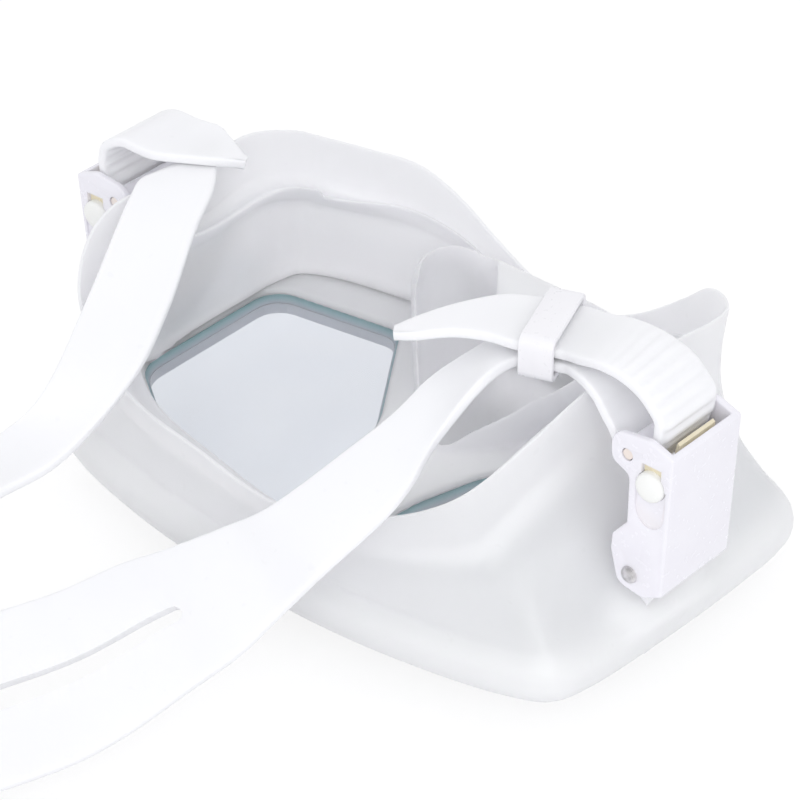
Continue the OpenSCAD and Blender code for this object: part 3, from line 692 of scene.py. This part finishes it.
def strip(name, route, k, ribs=None):
    """A flat strap along pairs of brow and cheek edges, with rounded edges and, between two of its
    stations, ribs on its outer face."""
    route = np.array([[np.array(e, float) for e in pair] for pair in route])
    rows = spline(route.reshape(len(route), 6), k).reshape(-1, 2, 3)
    mid = rows.mean(1)
    run = run_along(mid)
    if ribs:
        start, stop = [run[min(i * k, len(run) - 1)] for i in ribs]
        where = np.linspace(0, run[-1], int(run[-1] / RIB_PITCH * 8) + 1)
        rows = np.stack([[np.interp(where, run, rows[:, e, c]) for c in range(3)]
                         for e in range(2)]).transpose(2, 0, 1)
        mid, run = rows.mean(1), where
    width = np.linalg.norm(rows[:, 1] - rows[:, 0], axis=1)[:, None]
    w = (rows[:, 1] - rows[:, 0]) / width
    up = np.cross(np.gradient(mid, axis=0), w)
    up /= np.linalg.norm(up, axis=1)[:, None]
    half = STRAP_T / 2
    corner = [(STRAP_ROUND * (1 - math.cos(a)), half - STRAP_ROUND * (1 - math.sin(a)))
              for a in np.radians([0, 22, 45, 68, 90])]
    inner = (0.1, 0.3, 0.5, 0.7, 0.9)
    n, side = len(rows), 2 * len(corner) + len(inner)
    m = 2 * side
    verts = []
    for i in range(n):
        lift = 0.0
        if ribs:
            inside = min(1.0, max(0.0, (run[i] - start) / RIB_EASE),
                         max(0.0, (stop - run[i]) / RIB_FADE))
            wave = 0.5 + 0.5 * math.cos(2 * math.pi * run[i] / RIB_PITCH)
            lift = RIB_H * inside * min(1.0, RIB_PEAK * wave)
        full = float(width[i, 0])
        s = min(1.0, full / ROUND_FROM)
        for sign, rise in ((1, 0.0), (-1, lift)):
            line = [(a * s, b) for a, b in corner]
            line += [(f * full, half + rise * min(1.0, min(f, 1 - f) * full / RIB_EDGE))
                     for f in inner]
            line += [(full - a * s, b) for a, b in reversed(corner)]
            verts += [rows[i, 0] + w[i] * a + up[i] * b * sign for a, b in line[::sign]]
    faces = tube_faces(n, m)
    faces += [(base + j, base + j + 1, base + m - 2 - j, base + m - 1 - j)
              for base in (0, (n - 1) * m) for j in range(side - 1)]
    return new_mesh(name, verts, faces, STRAP, 50)


def slot_prism():
    """A cutter for the slot between the two bands at the back of the head."""
    rows = spline(np.array(BACK, float).reshape(len(BACK), 6), SLOT_STEPS).reshape(-1, 2, 3)
    rows = rows[SLOT_START:]
    n = len(rows)
    mid = rows.mean(1)
    tangent = np.gradient(mid, axis=0)
    run = run_along(mid)
    verts = []
    for i in range(n):
        d = rows[i, 1] - rows[i, 0]
        w = d / np.linalg.norm(d)
        h = np.cross(tangent[i], w)
        h *= STRAP_T / np.linalg.norm(h)
        swell = 1 + SLOT_SWELL * math.sin(math.pi * i / (n - 1))
        widest = SLOT_SHARE * swell * np.linalg.norm(d)
        end = min(run[i], run[-1] - run[i])
        g = widest * math.sqrt(max(0.0, 1 - max(0.0, 1 - end / widest) ** 2)) + 0.02
        c = mid[i]
        verts += [c - w * g + h, c + w * g + h, c + w * g - h, c - w * g - h]
    faces = tube_faces(n, 4) + [(0, 1, 2, 3), tuple(range((n - 1) * 4, n * 4))[::-1]]
    return new_mesh("slot_cutter", verts, faces, STRAP)


def strap_band():
    """The split band with both arms, and its left end up to the buckle."""
    route = ARM + BACK + ARM_LEFT + ARM_RUN_LEFT[1:] + arm_entry(-1)[::-1]
    piece = strip("strap_band", route, 10)
    boolean(piece, slot_prism())
    finish_shading(piece, 35)
    return piece


band = strap_band()
tail_end = strip("strap_tip", TAIL_END, 8)
entry = [buckle_row(1, LOOP_OUT, ROLLER_UP + LOOP_TOP + k) for k in (0, 1.6)]
before = ARM_RUN[::-1] + arm_entry(1)[::-1] + loop_rows(1)
right_run = strip("strap_right_run", before + entry + TAIL_RUN, 8,
                  ribs=(len(before) - 5, len(before) + 5))
left_rows = loop_rows(-1)
left_tail = [[at_buckle(-1, *p) for p in pair] for pair in TAIL_LEFT]
left_run = strip("strap_left_tail", left_rows + left_tail, 8,
                 ribs=(len(left_rows) - 5, len(left_rows) + 4))

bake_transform(band)
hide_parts("strap_back", "strap_run_left")
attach(tail_end, "mask")
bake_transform(right_run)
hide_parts("strap_run_right", "strap_loop_right")
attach(left_run, "buckle_left")
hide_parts("strap_tail_left", "strap_loop_left")

# ---------------------------------------------------------------- keeper

KEEPER_MID, KEEPER_TURN, KEEPER_L, KEEPER_WALL = (44, -5.4, 65), 21.0, 7.8, 1.4
KEEPER_ROOM = STRAP_T / 2 + 2 + 0.7
KEEPER_ROUND, KEEPER_ROUND_IN = 2.4, 1.1


def keeper_piece():
    """A rounded loop round both straps."""
    inner = (STRAP_W + 1) / 2, KEEPER_ROOM
    outer = inner[0] + KEEPER_WALL, inner[1] + KEEPER_WALL

    def frame_line(half, r):
        a, b = half
        return rounded([(a, b, r), (-a, b, r), (-a, -b, r), (a, -b, r)], 6)
    big, small = frame_line(outer, KEEPER_ROUND), frame_line(inner, KEEPER_ROUND_IN)
    turn = math.radians(KEEPER_TURN)
    along = np.array([math.cos(turn), math.sin(turn), 0])
    wide = np.array([-math.sin(turn), math.cos(turn), 0])
    verts = []
    for line, x in ((small, -1), (big, -1), (big, 1), (small, 1)):
        end = np.array(KEEPER_MID) + along * x * KEEPER_L / 2
        verts += [end + wide * a + np.array([0, 0, b]) for a, b in line]
    return bevelled(new_mesh("keeper_loop", verts, tube_faces(4, len(big), True), KEEPER), 0.35)


keeper = keeper_piece()
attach(keeper, "keeper")
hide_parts("strap_keeper")

# ---------------------------------------------------------------- buckles

GAP_HALF, BUCKLE_WALL = STRAP_W / 2 + 0.45, 1.8
BUCKLE_HALF = GAP_HALF + BUCKLE_WALL
PLATE_FOOT, PLATE_TOP, PLATE_IN, PLATE_T, PLATE_LEAN = -2.2, ROLLER_UP + 3.7, 7.0, 1.5, 1.4
BUTTON_X, BUTTON_Z, BUTTON_R, PIN_R, AXLE_R = 4.4, ROLLER_UP - 5.2, 3.5, 1.2, 1.25
# A cheek's corners as x, z from the hinge pin, and radius
SIDE = [(-3.4, -3.6, 3), (3.4, -4.8, 3), (PLATE_IN + PLATE_T, PLATE_FOOT, 1),
        (PLATE_IN + PLATE_T + PLATE_LEAN, PLATE_TOP, 0.8), (3.6, PLATE_TOP + 2.2, 3),
        (-6.4, ROLLER_UP + 4.6, 4), (-6.4, ROLLER_UP - 2.8, 3), (-1.4, ROLLER_UP - 5, 2),
        (-1.5, 13, 1.5), (-5.2, 8.4, 1), (-5.5, 4.4, 2)]
RECESS_HALF, RECESS_DOWN, RECESS_ROUND, RECESS_DEPTH = 3.9, 6.2, 4.6, 0.45
NOTCH_HALF, NOTCH_UP, NOTCH_DEPTH = 2.6, 5, 0.95
# The latch in a notch: half its width, its span above the button's middle, its faces' depths
LATCH_HALF, LATCH_SPAN, LATCH_DEPTHS = 2.4, (2.6, 4.8), (1.15, 0.8)
# A button's half section as radius and height, crown first, with a stem off its centre
BUTTON_UP, STEM_R, STEM_SHIFT = 0.9, 1.1, 1.9
BUTTON_LINE = [(0, 0.62), (1.2, 0.6), (2.2, 0.5), (2.85, 0.32), (3.25, 0.05), (3.45, -0.35),
               (3.5, -0.8), (3.5, -1.8), (STEM_R, -1.8), (STEM_R, -3.6), (0, -3.6)]
CIRCLE_STEPS = 48


def across(name, side, outline, y0, y1, material):
    """An outline in a buckle's x and z raised along its pin from y0 to y1."""
    verts = [at_buckle(side, x, y, z) for y in (y0, y1) for x, z in outline]
    return new_mesh(name, verts, capped_faces(2, len(outline)), material)


def circle(x, z, r):
    turns = [2 * math.pi * i / CIRCLE_STEPS for i in range(CIRCLE_STEPS)]
    return [(x + r * math.cos(a), z + r * math.sin(a)) for a in turns]


def buckle_housing(name, side):
    """Two cheeks and a face plate from one moulding, with eased edges, bores and recesses."""
    body = across(name, side, rounded(SIDE, 6), -BUCKLE_HALF, BUCKLE_HALF, HOUSING)
    slope = PLATE_LEAN / (PLATE_TOP - PLATE_FOOT)
    inside, low, high = -30, -20, 50
    room = [(inside, low), (PLATE_IN + slope * (low - PLATE_FOOT), low),
            (PLATE_IN + slope * (high - PLATE_FOOT), high), (inside, high)]
    boolean(body, across("room", side, room, -GAP_HALF, GAP_HALF, HOUSING))
    bevelled(body, 0.55, 4)
    for x, z, r in ((0, 0, PIN_R + 0.02), (ROLLER_X, ROLLER_UP, AXLE_R + 0.25),
                    (BUTTON_X, BUTTON_Z, BUTTON_R + 0.12)):
        boolean(body, across("bore", side, circle(x, z, r), -20, 20, HOUSING))
    cup = [(BUTTON_X + RECESS_HALF, BUTTON_Z), (BUTTON_X - RECESS_HALF, BUTTON_Z)]
    cup += [(BUTTON_X + RECESS_HALF * math.cos(a),
             BUTTON_Z - RECESS_DOWN + RECESS_ROUND * math.sin(a))
            for a in np.radians(np.arange(180, 361, 15))]
    notch = [(BUTTON_X - NOTCH_HALF, BUTTON_Z), (BUTTON_X + NOTCH_HALF, BUTTON_Z),
             (BUTTON_X + NOTCH_HALF, BUTTON_Z + NOTCH_UP),
             (BUTTON_X - NOTCH_HALF, BUTTON_Z + NOTCH_UP)]
    for sign in (1, -1):
        for line, depth in ((cup, RECESS_DEPTH), (notch, NOTCH_DEPTH)):
            y = sorted((sign * (BUCKLE_HALF - depth), sign * (BUCKLE_HALF + 1)))
            boolean(body, across("recess", side, line, *y, HOUSING))
    return bevelled(body, 0.16, 2, 35, 35)


def latch_windows(name, side):
    """The ivory of the latch showing in the notch above each button."""
    low, high = LATCH_SPAN
    pane = ((-LATCH_HALF, low), (LATCH_HALF, low), (LATCH_HALF, high), (-LATCH_HALF, high))
    verts, faces = [], []
    for sign in (1, -1):
        for depth in LATCH_DEPTHS:
            y = sign * (BUCKLE_HALF - depth)
            verts += [at_buckle(side, BUTTON_X + a, y, BUTTON_Z + b) for a, b in pane]
        k = len(verts) - 8
        faces += [(k, k + 1, k + 2, k + 3), (k + 4, k + 7, k + 6, k + 5)]
        faces += [(k + i, k + 4 + i, k + 4 + (i + 1) % 4, k + (i + 1) % 4) for i in range(4)]
    return bevelled(new_mesh(name, verts, faces, IVORY), 0.08, 2)


def push_button(name, side, sign):
    """A round push button with a soft crown, and its stem to the latch."""
    verts, faces, start = [], [], 0
    for r, h in BUTTON_LINE:
        shift = STEM_SHIFT if r <= STEM_R and h < 0 else 0
        y = sign * (BUCKLE_HALF + BUTTON_UP + h)
        ring = circle(BUTTON_X, BUTTON_Z, r) if r else [(BUTTON_X, BUTTON_Z)]
        verts += [at_buckle(side, x + shift, y, z) for x, z in ring]
    for (r0, _), (r1, _) in zip(BUTTON_LINE, BUTTON_LINE[1:]):
        n0, n1 = (CIRCLE_STEPS if r0 else 1), (CIRCLE_STEPS if r1 else 1)
        nxt = start + n0
        for i in range(CIRCLE_STEPS):
            j = (i + 1) % CIRCLE_STEPS
            ring = [start + i % n0, start + j % n0, nxt + j % n1, nxt + i % n1]
            faces.append(tuple(dict.fromkeys(ring)))
        start = nxt
    return new_mesh(name, verts, faces, BUTTON, 50)


for side, word in ((1, "right"), (-1, "left")):
    housing = buckle_housing("housing_" + word, side)
    windows = latch_windows("latch_window_" + word, side)
    for piece, slot in ((housing, "buckle_plastic"), (windows, "ivory_plastic")):
        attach(piece, "buckle_" + word)
    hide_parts("buckle_housing_" + word)
    for sign, edge in ((-1, "brow"), (1, "cheek")):
        piece = push_button("push_%s_%s" % (edge, word), side, sign)
        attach(piece, "button_%s_%s" % (edge, word))
        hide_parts("button_%s_%s" % (edge, word))

# ---------------------------------------------------------------- lenses

EDGE_OFF, EDGE_TOP, EDGE_LOW, EDGE_THICK = 0.15, WINDOW + 0.15, 0.05, 0.2


def edge_band(name, side):
    """The ground edge of a lens as its glass shows it: a slanted band from the window to the
    frame."""
    z0, z1 = FRAME_T + EDGE_OFF, FRAME_T + LENS_T - EDGE_OFF
    shares = (0, 0.35, 0.7, 1)
    levels = [(lens_outline(EDGE_LOW + (EDGE_TOP - EDGE_LOW) * s + grow, side), z0 + (z1 - z0) * s)
              for grow, part in ((0, shares), (EDGE_THICK, shares[::-1])) for s in part]
    verts = [(x, y, z) for outline, z in levels for x, y in outline]
    return new_mesh(name, verts, tube_faces(len(levels), len(levels[0][0]), True), EDGE_TINT)


for side, word in ((1, "right"), (-1, "left")):
    piece = edge_band("lens_edge_" + word, side)
    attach(piece, "mask")

# ---------------------------------------------------------------- nodes kept from the frame

FINISH = {"front_frame": FRAME, "lens_right": GLASS, "lens_left": GLASS}
for word in ("right", "left"):
    FINISH.update({"hinge_pin_" + word: STEEL, "roller_axle_" + word: PEACH,
                   "roller_" + word: HOUSING, "release_pawl_" + word: IVORY})
for name, material in FINISH.items():
    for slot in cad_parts[name].material_slots:
        slot.material = material

# ---------------------------------------------------------------- camera, floor and light

scene = bpy.context.scene
# The camera's direction and distance were solved from the mask's own symmetry in the photograph
AZ, EL, DIST = math.radians(41.3), math.radians(36.2), 0.8
SENSOR, FOCAL, SHIFT_X, SHIFT_Y = 36.0, 155.52, -0.0165, 0.1111
back = Vector((math.sin(AZ) * math.cos(EL), -math.cos(AZ) * math.cos(EL), math.sin(EL)))
cam = bpy.data.cameras.new("camera")
cam.sensor_width = SENSOR
cam.lens = FOCAL
cam.shift_x = SHIFT_X
cam.shift_y = SHIFT_Y
cam.clip_start = 0.01
camera = bpy.data.objects.new("camera", cam)
camera.location = back * DIST
camera.rotation_euler = (-back).to_track_quat("-Z", "Y").to_euler()
scene.collection.objects.link(camera)
scene.camera = camera

# How far the floor lies under the frame, in metres, and half its width, in millimetres
FLOOR_DROP, FLOOR_HALF = 0.0004, 3000.0


def ground():
    """A wide flat floor of pale paper: it lights the object as paper does, and is near white with
    its shadows where the camera sees it."""
    n = Material("studio paper")
    n.tree.nodes.remove(n.bsdf)
    lit = n.add("ShaderNodeBsdfDiffuse")
    fibre = n.ramp(n.noise(300, 3), [(0.3, (0.88, 0.88, 0.89)), (0.7, (0.91, 0.91, 0.92))])
    n.link(fibre, lit.inputs["Color"])
    dim = n.add("ShaderNodeBsdfDiffuse")
    dim.inputs["Color"].default_value = (0.24, 0.24, 0.24, 1)
    glow = n.add("ShaderNodeEmission")
    glow.inputs["Color"].default_value = (1, 1, 1, 1)
    glow.inputs["Strength"].default_value = 0.8
    both = n.add("ShaderNodeAddShader")
    n.link(dim.outputs[0], both.inputs[0])
    n.link(glow.outputs[0], both.inputs[1])
    choose = n.add("ShaderNodeMixShader")
    n.link(n.plain_rays(), choose.inputs["Fac"])
    n.link(lit.outputs[0], choose.inputs[1])
    n.link(both.outputs[0], choose.inputs[2])
    out = [x for x in n.tree.nodes if x.type == "OUTPUT_MATERIAL"][0]
    n.link(choose.outputs[0], out.inputs["Surface"])
    low = (CAD_BOX[0][2] - FLOOR_DROP) / MM
    corners = ((-1, -1), (1, -1), (1, 1), (-1, 1))
    verts = [(FLOOR_HALF * x, FLOOR_HALF * y, low) for x, y in corners]
    obj = new_mesh("studio_floor", verts, [(0, 1, 2, 3)], n.mat)


ground()

world = bpy.data.worlds.new("studio")
scene.world = world
world.use_nodes = True
sky = Tree(world.node_tree)
sky.tree.nodes.clear()
white = sky.add("ShaderNodeBackground")
white.inputs["Strength"].default_value = 1.0
soft = sky.add("ShaderNodeBackground")
soft.inputs["Color"].default_value = (0.97, 0.975, 1.0, 1)
soft.inputs["Strength"].default_value = 0.88
mixer = sky.add("ShaderNodeMixShader")
sky.link(sky.plain_rays(), mixer.inputs["Fac"])
sky.link(soft.outputs[0], mixer.inputs[1])
sky.link(white.outputs[0], mixer.inputs[2])
sky.link(mixer.outputs[0], sky.add("ShaderNodeOutputWorld").inputs["Surface"])

LAMP_TARGET = (0, 0, 0.02)


def lamp(name, where, size, power):
    """A round area lamp that looks at the mask."""
    data = bpy.data.lights.new(name, "AREA")
    data.shape = "DISK"
    data.size = size
    data.energy = power
    obj = bpy.data.objects.new(name, data)
    obj.location = where
    aim = Vector(LAMP_TARGET) - Vector(where)
    obj.rotation_euler = aim.to_track_quat("-Z", "Y").to_euler()
    scene.collection.objects.link(obj)


lamp("key", (-0.55, 0.35, 1.0), 0.7, 0.3)
lamp("fill", (0.66, -0.72, 0.72), 0.8, 3.4)

scene.view_settings.view_transform = "Standard"
